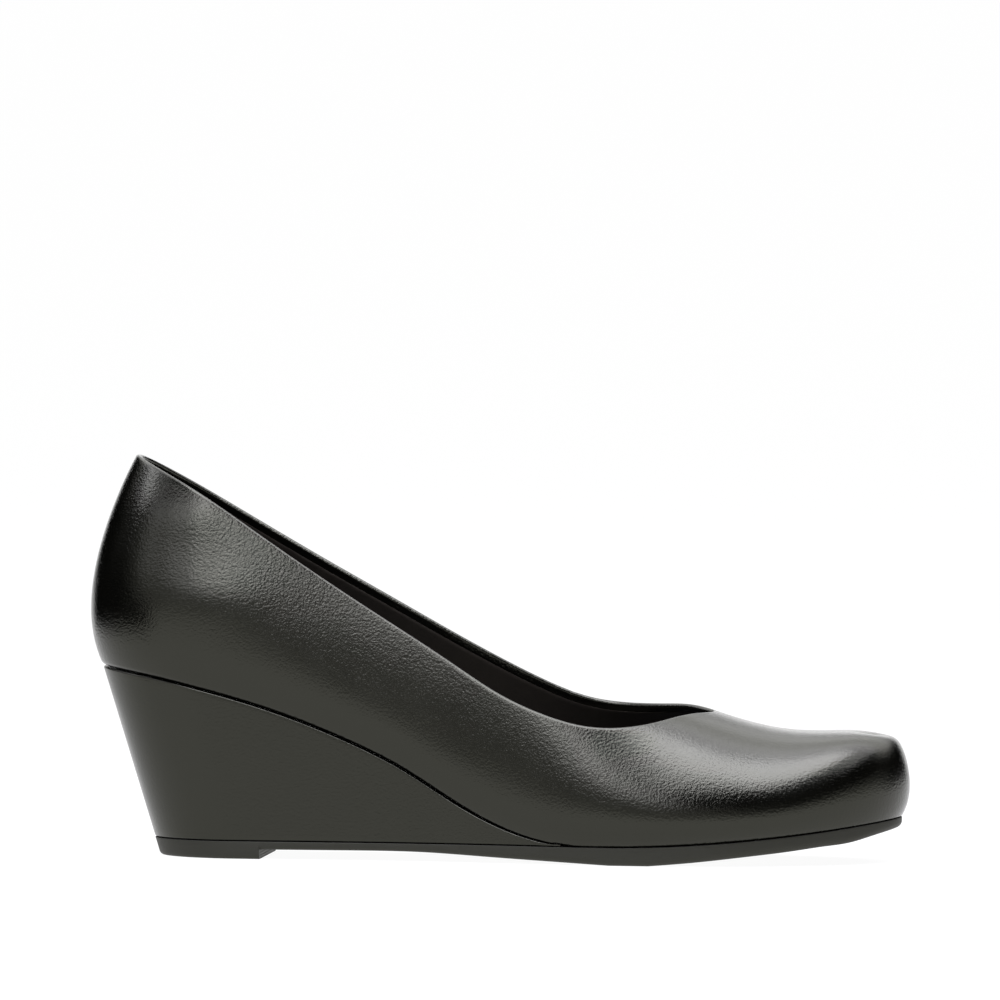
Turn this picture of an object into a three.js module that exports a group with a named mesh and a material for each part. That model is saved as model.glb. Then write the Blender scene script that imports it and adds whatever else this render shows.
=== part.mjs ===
// A woman's wedge pump, the right shoe of a pair, standing empty on its sole.
// Millimetres, +Z up, toe towards +X. The outer side of the foot is -Y and the inner side is +Y.
// Origin: on the floor, under the middle of the shoe's length and width.
// Four pieces: a rubber outsole with its heel lift, a leather covered wedge, a padded insole and
// a leather upper, which is one hollow wall drawn from the last.

import * as THREE from "three";
import { mergeVertices } from "three/addons/utils/BufferGeometryUtils.js";

// Driving dimensions. The feather line is the upper's lower edge, all round the shoe.
const SOLE_LENGTH = 242; // feather line, back of the heel to tip of the toe, seen from above
const BALL_WIDTH = 76; // feather line across the ball of the foot
const HEEL_WIDTH = 52; // feather line across the heel seat
const TOE_SWING = 8; // how far the toe tip lies to the inner side
const HEEL_HEIGHT = 57; // top of the wedge at its back, above the floor
const BACK_HEIGHT = 64.6; // top line above the wedge at the back
const TOE_BOX_HEIGHT = 30; // toe box above the outsole
const INSTEP_RISE = 70; // how much higher than the toe box the last's cone is
const RIDGE_SHIFT = 5; // how far the instep ridge lies to the inner side
const TOE_SETBACK = 9; // how far the ridge ends behind the toe tip
const HEEL_SETBACK = 39; // how far the ridge ends ahead of the back of the heel
const BELLY = 5.2; // how far the upper swells out past the feather line at the heel
const UPPER_WALL = 1.8; // leather with its lining
const FOREFOOT_SOLE = 5.5; // outsole under the ball
const WAIST_SOLE = 2.4; // outsole under the arch
const SEAT_SOLE = 5.3; // outsole with its lift, under the heel
const TOE_SPRING = 8.3; // rise of the outsole's top from ball to toe
const TOE_LIFT = 10.6; // rise of the outsole's underside from ball to toe
const LIFT_SLANT = 2.7; // how much further forward the heel lift reaches on the inner side
const LIFT_DRAFT = 0.4; // how far the lift's front face leans
const HEEL_THROW = 0.9; // how far the back of the heel stands out of its round
const HEEL_PITCH = 16.3; // how far the wedge's back leans forward on its way down
const HEEL_TAPER = 2.6; // how much the wedge narrows on each side on its way down
const SOLE_ROUND = 1.8; // how far the sole's lower edge is drawn in at the forefoot
const LIFT_ROUND = 0.8; // the same at the back of the heel lift
const INSOLE_THICKNESS = 4;
const WEDGE_TIP = 0.5; // thickness of the wedge's skived front edge
const FIT_GAP = 0.3; // clearance between two pieces that meet

// Places along the length, as shares of it.
const AT = {
  heelCap: 0.125, // the round of the heel ends
  lift: 0.169, // the heel lift ends
  wedge: 0.58, // the wedge ends
  settled: 0.6, // the upper, having crossed the wedge's thin front, lies on the outsole
  tread: 0.64, // the flat of the forefoot's tread begins
  spring: 0.69, // it ends, and the toe begins to rise
  toeCap: 0.7, // the round of the toe begins
  throat: 0.7624, // the top line meets the instep's ridge
};

// How round the curves are: 2 is a circle or a parabola, more is squarer or later.
const TOE_CAP_POWER = 2.3;
const HEEL_CAP_POWER = 2.1;
const TOE_SPRING_POWER = 1.8;
const UNDERCUT_POWER = 2;

// Half widths of the feather line, as shares of half the heel width and half the ball width.
const PLAN = [
  { at: 0, heel: 1, outerBall: 0, innerBall: 0, swing: 0 },
  { at: 0.15, heel: 0.99, outerBall: 0.01, innerBall: 0, swing: 0 },
  { at: 0.3, heel: 0.8, outerBall: 0.13, innerBall: 0.09, swing: 0 },
  { at: 0.45, heel: 0.38, outerBall: 0.49, innerBall: 0.38, swing: 0 },
  { at: 0.6, heel: 0.06, outerBall: 0.9, innerBall: 0.79, swing: 0.03 },
  { at: 0.7, heel: 0, outerBall: 1, innerBall: 0.96, swing: 0.14 },
  { at: 0.85, heel: 0, outerBall: 0.99, innerBall: 0.99, swing: 0.55 },
  { at: 1, heel: 0, outerBall: 0.95, innerBall: 0.95, swing: 1 },
];

// The wedge's top line in side view, from 1 at its back to 0 where it meets the outsole.
const WEDGE_LINE = [
  { at: 0, rise: 1 },
  { at: 0.06, rise: 0.955 },
  { at: 0.125, rise: 0.885 },
  { at: 0.19, rise: 0.8 },
  { at: 0.25, rise: 0.705 },
  { at: 0.325, rise: 0.56 },
  { at: 0.38, rise: 0.43 },
  { at: 0.435, rise: 0.27 },
  { at: 0.49, rise: 0.13 },
  { at: 0.54, rise: 0.045 },
  { at: 0.58, rise: 0.003 },
];

// The outsole's underside in the waist, as shares of the waist's own clearance.
const WAIST_LINE = [
  { at: 0.169, lift: 0.98 },
  { at: 0.3, lift: 1 },
  { at: 0.4, lift: 0.93 },
  { at: 0.48, lift: 0.62 },
  { at: 0.56, lift: 0.32 },
  { at: 0.64, lift: 0 },
];

// The outsole's underside ahead of the tread, as shares of the toe's lift.
const TOE_LINE = [
  { at: 0.69, lift: 0 },
  { at: 0.742, lift: 0.1 },
  { at: 0.791, lift: 0.22 },
  { at: 0.833, lift: 0.33 },
  { at: 0.868, lift: 0.425 },
  { at: 0.913, lift: 0.565 },
  { at: 0.942, lift: 0.65 },
  { at: 0.97, lift: 0.82 },
  { at: 1, lift: 1 },
];

// The ridge of the last: toe box and instep heights as shares of their named sizes.
const RIDGE = [
  { at: 0.165, box: 1, instep: 1, shift: 0 },
  { at: 0.25, box: 1, instep: 0.9, shift: 0.3 },
  { at: 0.35, box: 1, instep: 0.79, shift: 0.7 },
  { at: 0.45, box: 1, instep: 0.69, shift: 0.95 },
  { at: 0.55, box: 1, instep: 0.555, shift: 1 },
  { at: 0.63, box: 1, instep: 0.385, shift: 1 },
  { at: 0.7, box: 1, instep: 0.225, shift: 1.05 },
  { at: 0.7624, box: 1, instep: 0.127, shift: 1.1 },
  { at: 0.8, box: 1, instep: 0.076, shift: 1.2 },
  { at: 0.85, box: 0.985, instep: 0.027, shift: 1.3 },
  { at: 0.9, box: 0.98, instep: 0, shift: 1.4 },
  { at: 0.936, box: 0.94, instep: 0, shift: 1.5 },
  { at: 0.963, box: 0.87, instep: 0, shift: 1.6 },
];
const RIDGE_TOE = { from: 0.71, power: 3 };
const RIDGE_HEEL = { to: 0.45, power: 2 };

// The shape of each section: roundness (2 is an ellipse, more is squarer) and its belly.
const SECTION = [
  { at: 0, power: 2, outerBelly: 0.95, innerBelly: 0.95, bellyAt: 0.33 },
  { at: 0.15, power: 2.05, outerBelly: 0.85, innerBelly: 0.8, bellyAt: 0.26 },
  { at: 0.3, power: 2.15, outerBelly: 0.6, innerBelly: 0.4, bellyAt: 0.22 },
  { at: 0.42, power: 2.6, outerBelly: 0.53, innerBelly: 0.26, bellyAt: 0.2 },
  { at: 0.52, power: 3, outerBelly: 0.54, innerBelly: 0.3, bellyAt: 0.2 },
  { at: 0.62, power: 2.6, outerBelly: 0.61, innerBelly: 0.43, bellyAt: 0.22 },
  { at: 0.75, power: 2.3, outerBelly: 0.68, innerBelly: 0.62, bellyAt: 0.28 },
  { at: 0.9, power: 3.1, outerBelly: 0.56, innerBelly: 0.56, bellyAt: 0.42 },
  { at: 1, power: 5.4, outerBelly: 0.37, innerBelly: 0.37, bellyAt: 0.58 },
];

// The top line in side view, from the back of the heel to the throat. Its height is 1 at the back
// and 0 at the throat.
const TOP_LINE = [
  { at: 0, outer: 1, inner: 1 },
  { at: 0.11, outer: 0.867, inner: 0.857 },
  { at: 0.22, outer: 0.699, inner: 0.71 },
  { at: 0.331, outer: 0.527, inner: 0.564 },
  { at: 0.442, outer: 0.364, inner: 0.422 },
  { at: 0.553, outer: 0.202, inner: 0.279 },
  { at: 0.636, outer: 0.081, inner: 0.176 },
  { at: 0.706, outer: 0.006, inner: 0.097 },
  { at: 0.775, outer: -0.042, inner: 0.038 },
  { at: 0.844, outer: -0.053, inner: 0.016 },
  { at: 0.914, outer: -0.028, inner: 0.017 },
  { at: 0.962, outer: -0.003, inner: 0.017 },
  { at: 1, outer: 0, inner: 0 },
];

// The edge of the outsole from its top to its bottom: share of the depth, share of the rounding.
const SOLE_EDGE = [
  { depth: 0, inset: 0 },
  { depth: 0.5, inset: 0 },
  { depth: 0.8, inset: 0.3 },
  { depth: 1, inset: 1 },
];

// Mesh counts.
const COLLAR_RIBS = 34;
const VAMP_RIBS = 25;
const RIB_STEPS = 16;
const WEDGE_STATIONS = 26;
const WEDGE_STEPS = 4;
const INSOLE_STATIONS = 40;
const LIFT_STATIONS = 14;
const WAIST_STATIONS = 18;
const TREAD_STATIONS = 3;
const TOE_STATIONS = 20;

// Steps for slopes and searches, and how far up a rib its wall turns from level to square.
const NUDGE = 1e-4;
const HALVINGS = 45;
const WALL_TURN = 0.12;
const WELD = 1e-3; // points closer than this are one

const OUTER = -1;
const INNER = 1;
const lerp = THREE.MathUtils.lerp;
const clamp = THREE.MathUtils.clamp;

// A natural cubic spline through one column of a table.
function column(rows, name) {
  const n = rows.length;
  const x = rows.map((row) => row.at);
  const y = rows.map((row) => row[name]);
  const bend = new Array(n).fill(0);
  const carry = new Array(n).fill(0);
  for (let i = 1; i < n - 1; i++) {
    const share = (x[i] - x[i - 1]) / (x[i + 1] - x[i - 1]);
    const pivot = share * bend[i - 1] + 2;
    const rise = (y[i + 1] - y[i]) / (x[i + 1] - x[i]) - (y[i] - y[i - 1]) / (x[i] - x[i - 1]);
    bend[i] = (share - 1) / pivot;
    carry[i] = ((6 * rise) / (x[i + 1] - x[i - 1]) - share * carry[i - 1]) / pivot;
  }
  for (let i = n - 2; i >= 0; i--) bend[i] = bend[i] * bend[i + 1] + carry[i];
  bend[n - 1] = 0;
  bend[0] = 0;
  return (at) => {
    const s = clamp(at, x[0], x[n - 1]);
    let k = 0;
    while (k < n - 2 && s > x[k + 1]) k++;
    const h = x[k + 1] - x[k];
    const a = (x[k + 1] - s) / h;
    const b = (s - x[k]) / h;
    return a * y[k] + b * y[k + 1] + (((a ** 3 - a) * bend[k] + (b ** 3 - b) * bend[k + 1]) * h * h) / 6;
  };
}

const heelShare = column(PLAN, "heel");
const ballShare = { [OUTER]: column(PLAN, "outerBall"), [INNER]: column(PLAN, "innerBall") };
const swingShare = column(PLAN, "swing");
const wedgeRise = column(WEDGE_LINE, "rise");
const waistLift = column(WAIST_LINE, "lift");
const toeLift = column(TOE_LINE, "lift");
const ridgeBox = column(RIDGE, "box");
const ridgeInstep = column(RIDGE, "instep");
const ridgeShift = column(RIDGE, "shift");
const sectionPower = column(SECTION, "power");
const belly = { [OUTER]: column(SECTION, "outerBelly"), [INNER]: column(SECTION, "innerBelly") };
const bellyHeight = column(SECTION, "bellyAt");
const topShare = { [OUTER]: column(TOP_LINE, "outer"), [INNER]: column(TOP_LINE, "inner") };

// A quarter of a superellipse: 1 at the start of a round end, 0 at its tip.
const roundEnd = (share, power) => (1 - clamp(share, 0, 1) ** power) ** (1 / power);

// Stations from one share of the length to another, closer together at one end or both.
const spread = (count, from, to, place) =>
  Array.from({ length: count + 1 }, (_, i) => lerp(from, to, place(i / count)));
const evenly = (u) => u;
const bothEnds = (u) => 0.5 * (1 - Math.cos(Math.PI * u));
const nearEnd = (u) => 1 - Math.cos((Math.PI / 2) * u);
const farEnd = (u) => Math.sin((Math.PI / 2) * u);

// Side view of the sole: its top, its underside, and the feather line on the wedge.
function outsoleTop(s) {
  const toe = clamp((s - AT.tread) / (1 - AT.tread), 0, 1);
  const seat = clamp(s / AT.tread, 0, 1);
  return lerp(SEAT_SOLE, FOREFOOT_SOLE, seat) + TOE_SPRING * toe ** TOE_SPRING_POWER;
}

function outsoleUnderside(s) {
  if (s < AT.lift) return 0;
  if (s < AT.tread) return (outsoleTop(s) - WAIST_SOLE) * waistLift(s);
  return s > AT.spring ? TOE_LIFT * toeLift(s) : 0;
}

function wedgeTop(s) {
  const top = outsoleTop(s);
  return s > AT.wedge ? top : top + (HEEL_HEIGHT - SEAT_SOLE) * wedgeRise(s);
}

// The upper's lower edge: on the wedge, then down over the wedge's thin front onto the outsole.
function featherHeight(s) {
  const step = FIT_GAP + WEDGE_TIP;
  const tail = 1 - clamp((s - AT.wedge) / (AT.settled - AT.wedge), 0, 1);
  const thin = clamp(1 - (wedgeRise(s) * (HEEL_HEIGHT - SEAT_SOLE)) / step, 0, 1);
  return wedgeTop(s) + FIT_GAP + step * tail * thin;
}

// A point of the feather line, or of the outline drawn in by inset.
function feather(side, s, inset = 0) {
  const toe = roundEnd((s - AT.toeCap) / (1 - AT.toeCap), TOE_CAP_POWER);
  const heel = roundEnd((AT.heelCap - s) / AT.heelCap, HEEL_CAP_POWER);
  const half = (HEEL_WIDTH / 2) * heelShare(s) + (BALL_WIDTH / 2) * ballShare[side](s);
  const y = TOE_SWING * swingShare(s) + side * half * toe * heel;
  const x = SOLE_LENGTH * s - HEEL_THROW * clamp(1 - s / AT.heelCap, 0, 1) ** 2;
  const point = new THREE.Vector3(x, y, featherHeight(s));
  if (!inset) return point;
  return point.addScaledVector(outward(side, s), -inset);
}

// The outline's outward direction, seen from above.
function outward(side, s) {
  if (s <= NUDGE) return new THREE.Vector3(-1, 0, 0);
  if (s >= 1 - NUDGE) return new THREE.Vector3(1, 0, 0);
  const a = feather(side, s - NUDGE);
  const b = feather(side, s + NUDGE);
  return new THREE.Vector3(-side * (b.y - a.y), side * (b.x - a.x), 0).normalize();
}

// The outsole's outline is the feather line, drawn forward and in under the wedge. Below its top
// it goes on leaning forward at the wedge's own slope.
function soleOutline(side, s, inset = 0, below = 0) {
  const point = feather(side, s, inset);
  const under = clamp(1 - s / AT.wedge, 0, 1) ** UNDERCUT_POWER;
  const half = Math.abs(point.y) / (HEEL_WIDTH / 2);
  point.x += HEEL_PITCH * under * (1 + below / (HEEL_HEIGHT - SEAT_SOLE));
  point.y -= side * HEEL_TAPER * under * half;
  return point;
}

// The last's ridge over the toe and the instep. Behind the throat it is never covered.
function ridge(s) {
  const toe = clamp((s - RIDGE_TOE.from) / (1 - RIDGE_TOE.from), 0, 1) ** RIDGE_TOE.power;
  const heel = clamp((RIDGE_HEEL.to - s) / RIDGE_HEEL.to, 0, 1) ** RIDGE_HEEL.power;
  const x = SOLE_LENGTH * s - TOE_SETBACK * toe + HEEL_SETBACK * heel;
  const at = x / SOLE_LENGTH;
  const rise = TOE_BOX_HEIGHT * ridgeBox(at) + INSTEP_RISE * ridgeInstep(at);
  return new THREE.Vector3(x, RIDGE_SHIFT * ridgeShift(at), wedgeTop(at) + rise);
}

// A point of the last: turn 0 is the feather line and turn 1 the ridge.
function last(side, s, turn) {
  const foot = feather(side, s);
  const top = ridge(s);
  const power = sectionPower(s);
  const angle = (turn * Math.PI) / 2;
  const [c, n] = [Math.max(Math.cos(angle), 0), Math.sin(angle)];
  const radius = (c ** power + n ** power) ** (-1 / power);
  const rise = radius * n;
  const peak = bellyHeight(s);
  const swell = (rise / peak) * Math.exp(1 - rise / peak) * ((1 - rise ** 2) / (1 - peak ** 2));
  const away = foot.clone().sub(top).setZ(0);
  const width = away.length();
  const out = width * radius * c + BELLY * belly[side](s) * swell;
  return top.clone().addScaledVector(away.normalize(), out).setZ(lerp(foot.z, top.z, rise));
}

// The share at which a rising test stops being true.
function search(low, high, test) {
  for (let i = 0; i < HALVINGS; i++) {
    const middle = (low + high) / 2;
    if (test(middle)) low = middle;
    else high = middle;
  }
  return high;
}

const THROAT_STATION = search(0.5, 1, (s) => ridge(s).x < AT.throat * SOLE_LENGTH);
const THROAT_POINT = ridge(THROAT_STATION);
const BACK_Z = HEEL_HEIGHT + BACK_HEIGHT;
const BACK_POINT = last(OUTER, 0, search(0, 1, (turn) => last(OUTER, 0, turn).z < BACK_Z));

// How far up a section the upper goes: to the top line, or over the ridge ahead of the throat.
function topTurn(side, s) {
  if (s >= THROAT_STATION) return 1;
  return search(0, 1, (turn) => {
    const p = last(side, s, turn);
    const at = (p.x - BACK_POINT.x) / (THROAT_POINT.x - BACK_POINT.x);
    return p.z < lerp(THROAT_POINT.z, BACK_Z, topShare[side](at));
  });
}

// The sections, closest together at the heel, round the throat and round the toe.
function stations() {
  const collar = spread(COLLAR_RIBS, 0, THROAT_STATION, bothEnds).slice(0, -1);
  return [...collar, ...spread(VAMP_RIBS, THROAT_STATION, 1, farEnd)];
}

// The last's outward normal. On the ridge and on the two end lines both sides give the same one.
function lastNormal(side, s, turn) {
  if (turn > 1 - NUDGE) {
    const slope = ridge(Math.min(s + NUDGE, 1)).sub(ridge(s - NUDGE));
    return new THREE.Vector3(-slope.z / slope.x, 0, 1).normalize();
  }
  const up = last(side, s, turn + NUDGE).sub(last(side, s, Math.max(turn - NUDGE, 0)));
  const atEnd = s < NUDGE || s > 1 - NUDGE;
  const along = atEnd
    ? new THREE.Vector3(0, s < 0.5 ? side : -side, 0)
    : last(side, s + NUDGE, turn).sub(last(side, s - NUDGE, turn));
  const normal = along.cross(up).multiplyScalar(-side).normalize();
  normal.z *= clamp(turn / WALL_TURN, 0, 1);
  return normal.normalize();
}

// Collects triangles and welds them into one closed geometry.
class Shell {
  constructor() {
    this.corners = [];
  }

  triangle(a, b, c) {
    this.corners.push(a, b, c);
  }

  quad(a, b, c, d) {
    this.triangle(a, b, c);
    this.triangle(a, c, d);
  }

  // A strip of quads between two rows of points.
  strip(low, high) {
    for (let i = 0; i + 1 < low.length; i++) this.quad(low[i], low[i + 1], high[i + 1], high[i]);
  }

  geometry() {
    const flat = this.corners.flatMap((p) => [p.x, p.y, p.z]);
    const soup = new THREE.BufferGeometry();
    soup.setAttribute("position", new THREE.Float32BufferAttribute(flat, 3));
    const welded = mergeVertices(soup, WELD);
    const index = welded.getIndex().array;
    const kept = [];
    for (let i = 0; i < index.length; i += 3) {
      const [a, b, c] = index.slice(i, i + 3);
      if (a !== b && b !== c && c !== a) kept.push(a, b, c);
    }
    welded.setIndex(kept);
    welded.computeVertexNormals();
    return welded;
  }
}

// The upper: one wall round the last, open at the top line and along the feather line.
function upperGeometry() {
  const shell = new Shell();
  const along = stations();
  const loop = [
    ...along.map((s) => [OUTER, s]),
    ...along.slice(0, -1).reverse().map((s) => [INNER, s]),
  ];
  const ribs = loop.map(([side, s]) => {
    const top = topTurn(side, s);
    const outside = [];
    const inside = [];
    for (let j = 0; j <= RIB_STEPS; j++) {
      const turn = (top * j) / RIB_STEPS;
      const point = last(side, s, turn);
      outside.push(point);
      inside.push(point.clone().addScaledVector(lastNormal(side, s, turn), -UPPER_WALL));
    }
    return { outside, inside, open: top < 1 };
  });
  for (let i = 0; i + 1 < ribs.length; i++) {
    const [a, b] = [ribs[i], ribs[i + 1]];
    shell.strip(b.outside, a.outside);
    shell.strip(a.inside, b.inside);
    shell.quad(a.outside[0], a.inside[0], b.inside[0], b.outside[0]);
    const [aTop, bTop] = [a.outside.at(-1), b.outside.at(-1)];
    if (a.open || b.open) shell.quad(aTop, bTop, b.inside.at(-1), a.inside.at(-1));
  }
  return shell.geometry();
}

// A solid between an upper and a lower outline, with wall rows between them. Each outline is a
// function of side and station, and each row's two edges are joined straight across.
function slab(along, rows) {
  const shell = new Shell();
  const edges = rows.map((row) => ({
    [OUTER]: along.map((s) => row(OUTER, s)),
    [INNER]: along.map((s) => row(INNER, s)),
  }));
  const [top, bottom] = [edges[0], edges.at(-1)];
  shell.strip(top[OUTER], top[INNER]);
  shell.strip(bottom[INNER], bottom[OUTER]);
  for (let k = 0; k + 1 < edges.length; k++) {
    shell.strip(edges[k + 1][OUTER], edges[k][OUTER]);
    shell.strip(edges[k][INNER], edges[k + 1][INNER]);
  }
  const end = along.length - 1;
  for (let k = 0; k + 1 < edges.length; k++) {
    const [a, b] = [edges[k], edges[k + 1]];
    shell.quad(a[OUTER][end], b[OUTER][end], b[INNER][end], a[INNER][end]);
    shell.quad(a[INNER][0], b[INNER][0], b[OUTER][0], a[OUTER][0]);
  }
  return shell.geometry();
}

function wedgeGeometry() {
  const along = spread(WEDGE_STATIONS, 0, AT.wedge, nearEnd);
  const rows = Array.from({ length: WEDGE_STEPS + 1 }, (_, k) => (side, s) => {
    const down = k / WEDGE_STEPS;
    const bottom = outsoleTop(s) + FIT_GAP;
    const top = Math.max(wedgeTop(s), bottom + WEDGE_TIP);
    return feather(side, s).lerp(soleOutline(side, s), down).setZ(lerp(top, bottom, down));
  });
  return slab(along, rows);
}

function insoleGeometry() {
  const along = spread(INSOLE_STATIONS, 0, 1, bothEnds);
  const edge = (lift) => (side, s) =>
    feather(side, s, UPPER_WALL + FIT_GAP).setZ(featherHeight(s) + lift);
  return slab(along, [edge(INSOLE_THICKNESS), edge(0)]);
}

// Stations are slanted across the sole round the heel lift's front face, so that it is one of them.
function slanted(side, s) {
  const near = 1 - Math.abs(s - AT.lift) / AT.lift;
  return s + (side * clamp(near, 0, 1) * LIFT_SLANT) / 2 / SOLE_LENGTH;
}

function outsoleGeometry() {
  const draft = LIFT_DRAFT / SOLE_LENGTH;
  const along = [
    ...spread(LIFT_STATIONS, 0, AT.lift - draft, nearEnd),
    ...spread(WAIST_STATIONS, AT.lift, AT.tread, evenly),
    ...spread(TREAD_STATIONS, AT.tread, AT.spring, evenly).slice(1),
    ...spread(TOE_STATIONS, AT.spring, 1, farEnd).slice(1),
  ];
  const rows = SOLE_EDGE.map((step) => (side, s) => {
    const z = lerp(outsoleTop(s), outsoleUnderside(s), step.depth);
    const round = lerp(LIFT_ROUND, SOLE_ROUND, clamp(s / AT.tread, 0, 1));
    return soleOutline(side, slanted(side, s), round * step.inset, outsoleTop(s) - z).setZ(z);
  });
  return slab(along, rows);
}

const leather = new THREE.MeshStandardMaterial({ color: 0x1f1f1c, roughness: 0.38, metalness: 0 });
const rubber = new THREE.MeshStandardMaterial({ color: 0x262622, roughness: 0.6, metalness: 0 });
const lining = new THREE.MeshStandardMaterial({ color: 0x14110e, roughness: 0.8, metalness: 0 });

function piece(name, geometry, material) {
  const mesh = new THREE.Mesh(geometry, material);
  mesh.name = name;
  return mesh;
}

const shoe = new THREE.Group();
shoe.add(
  piece("outsole", outsoleGeometry(), rubber),
  piece("wedge", wedgeGeometry(), leather),
  piece("insole", insoleGeometry(), lining),
  piece("upper", upperGeometry(), leather),
);
const box = new THREE.Box3().setFromObject(shoe);
const middle = box.getCenter(new THREE.Vector3());
shoe.position.set(-middle.x, -middle.y, -box.min.z);

export default shoe;
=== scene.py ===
"""Looks for the wedge pump: leather, lining, wedge cover, rubber sole, sock and a plain studio.

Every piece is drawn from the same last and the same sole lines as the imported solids. The pieces are
worked out in millimetres on the last and put in the scene in metres, where the solids stand.
"""

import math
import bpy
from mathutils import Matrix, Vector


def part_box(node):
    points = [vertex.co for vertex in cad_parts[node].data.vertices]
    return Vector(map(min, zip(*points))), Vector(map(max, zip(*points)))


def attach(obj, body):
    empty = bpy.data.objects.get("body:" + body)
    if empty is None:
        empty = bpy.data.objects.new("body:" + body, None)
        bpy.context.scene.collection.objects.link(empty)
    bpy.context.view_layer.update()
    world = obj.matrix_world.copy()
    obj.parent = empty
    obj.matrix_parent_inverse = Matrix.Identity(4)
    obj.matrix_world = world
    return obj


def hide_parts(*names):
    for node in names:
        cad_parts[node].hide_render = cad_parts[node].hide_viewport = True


bl_info = {
    "name": "Wedge pump",
    "version": (1, 0, 0),
    "blender": (4, 5, 0),
    "location": "3D View > Sidebar > Wedge Pump",
    "description": "Leather, lining, sole and studio for a woman's wedge pump",
    "category": "Object",
}

import bmesh
import bpy
import numpy as np
from mathutils import Matrix, Vector

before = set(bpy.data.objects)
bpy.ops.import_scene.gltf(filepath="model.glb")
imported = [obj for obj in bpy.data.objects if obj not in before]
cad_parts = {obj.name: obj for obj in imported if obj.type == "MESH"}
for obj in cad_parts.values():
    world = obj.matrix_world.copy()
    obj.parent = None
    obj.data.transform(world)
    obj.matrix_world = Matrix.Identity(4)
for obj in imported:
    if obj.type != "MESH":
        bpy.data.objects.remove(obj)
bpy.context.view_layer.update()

MM = 0.001
OUTER = -1.0
INNER = 1.0

# Sizes of the last and of the sole in millimetres, the same as in the solids.
SOLE_LENGTH = 242.0
BALL_WIDTH = 76.0
HEEL_WIDTH = 52.0
TOE_SWING = 8.0
HEEL_HEIGHT = 57.0
BACK_HEIGHT = 64.6
TOE_BOX_HEIGHT = 30.0
INSTEP_RISE = 70.0
RIDGE_SHIFT = 5.0
TOE_SETBACK = 9.0
HEEL_SETBACK = 39.0
BELLY = 5.2
UPPER_WALL = 1.8
FOREFOOT_SOLE = 5.5
WAIST_SOLE = 2.4
SEAT_SOLE = 5.3
TOE_SPRING = 8.3
TOE_LIFT = 10.6
LIFT_SLANT = 2.7
LIFT_DRAFT = 0.4
HEEL_THROW = 0.9
HEEL_PITCH = 16.3
HEEL_TAPER = 2.6
WEDGE_TIP = 0.5
FIT_GAP = 0.3

# Places along the length, as shares of it.
AT_HEEL_CAP = 0.125
AT_LIFT = 0.169
AT_WEDGE = 0.58
AT_SETTLED = 0.6
AT_TREAD = 0.64
AT_SPRING = 0.69
AT_TOE_CAP = 0.7
AT_THROAT = 0.7624

TOE_CAP_POWER = 2.3
HEEL_CAP_POWER = 2.1
TOE_SPRING_POWER = 1.8
UNDERCUT_POWER = 2.0

# Half widths of the feather line, as shares of half the heel width and half the ball width.
PLAN = {
    "at": (0, 0.15, 0.3, 0.45, 0.6, 0.7, 0.85, 1),
    "heel": (1, 0.99, 0.8, 0.38, 0.06, 0, 0, 0),
    "outer_ball": (0, 0.01, 0.13, 0.49, 0.9, 1, 0.99, 0.95),
    "inner_ball": (0, 0, 0.09, 0.38, 0.79, 0.96, 0.99, 0.95),
    "swing": (0, 0, 0, 0, 0.03, 0.14, 0.55, 1),
}
# The wedge's top line in side view.
WEDGE_LINE = {
    "at": (0, 0.06, 0.125, 0.19, 0.25, 0.325, 0.38, 0.435, 0.49, 0.54, 0.58),
    "rise": (1, 0.955, 0.885, 0.8, 0.705, 0.56, 0.43, 0.27, 0.13, 0.045, 0.003),
}
# The outsole's underside in the waist and ahead of the tread.
WAIST_LINE = {
    "at": (0.169, 0.3, 0.4, 0.48, 0.56, 0.64),
    "lift": (0.98, 1, 0.93, 0.62, 0.32, 0),
}
TOE_LINE = {
    "at": (0.69, 0.742, 0.791, 0.833, 0.868, 0.913, 0.942, 0.97, 1),
    "lift": (0, 0.1, 0.22, 0.33, 0.425, 0.565, 0.65, 0.82, 1),
}
# The ridge of the last.
RIDGE = {
    "at": (0.165, 0.25, 0.35, 0.45, 0.55, 0.63, 0.7, 0.7624, 0.8, 0.85, 0.9, 0.936, 0.963),
    "box": (1, 1, 1, 1, 1, 1, 1, 1, 1, 0.985, 0.98, 0.94, 0.87),
    "instep": (1, 0.9, 0.79, 0.69, 0.555, 0.385, 0.225, 0.127, 0.076, 0.027, 0, 0, 0),
    "shift": (0, 0.3, 0.7, 0.95, 1, 1, 1.05, 1.1, 1.2, 1.3, 1.4, 1.5, 1.6),
}
RIDGE_TOE = (0.71, 3.0)
RIDGE_HEEL = (0.45, 2.0)
# The shape of each section.
SECTION = {
    "at": (0, 0.15, 0.3, 0.42, 0.52, 0.62, 0.75, 0.9, 1),
    "power": (2, 2.05, 2.15, 2.6, 3, 2.6, 2.3, 3.1, 5.4),
    "outer_belly": (0.95, 0.85, 0.6, 0.53, 0.54, 0.61, 0.68, 0.56, 0.37),
    "inner_belly": (0.95, 0.8, 0.4, 0.26, 0.3, 0.43, 0.62, 0.56, 0.37),
    "belly_at": (0.33, 0.26, 0.22, 0.2, 0.2, 0.22, 0.28, 0.42, 0.58),
}
# The top line in side view, from the back of the heel to the throat.
TOP_LINE = {
    "at": (0, 0.11, 0.22, 0.331, 0.442, 0.553, 0.636, 0.706, 0.775, 0.844, 0.914, 0.962, 1),
    "outer": (1, 0.867, 0.699, 0.527, 0.364, 0.202, 0.081, 0.006, -0.042, -0.053, -0.028, -0.003, 0),
    "inner": (1, 0.857, 0.71, 0.564, 0.422, 0.279, 0.176, 0.097, 0.038, 0.016, 0.017, 0.017, 0),
}

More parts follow.
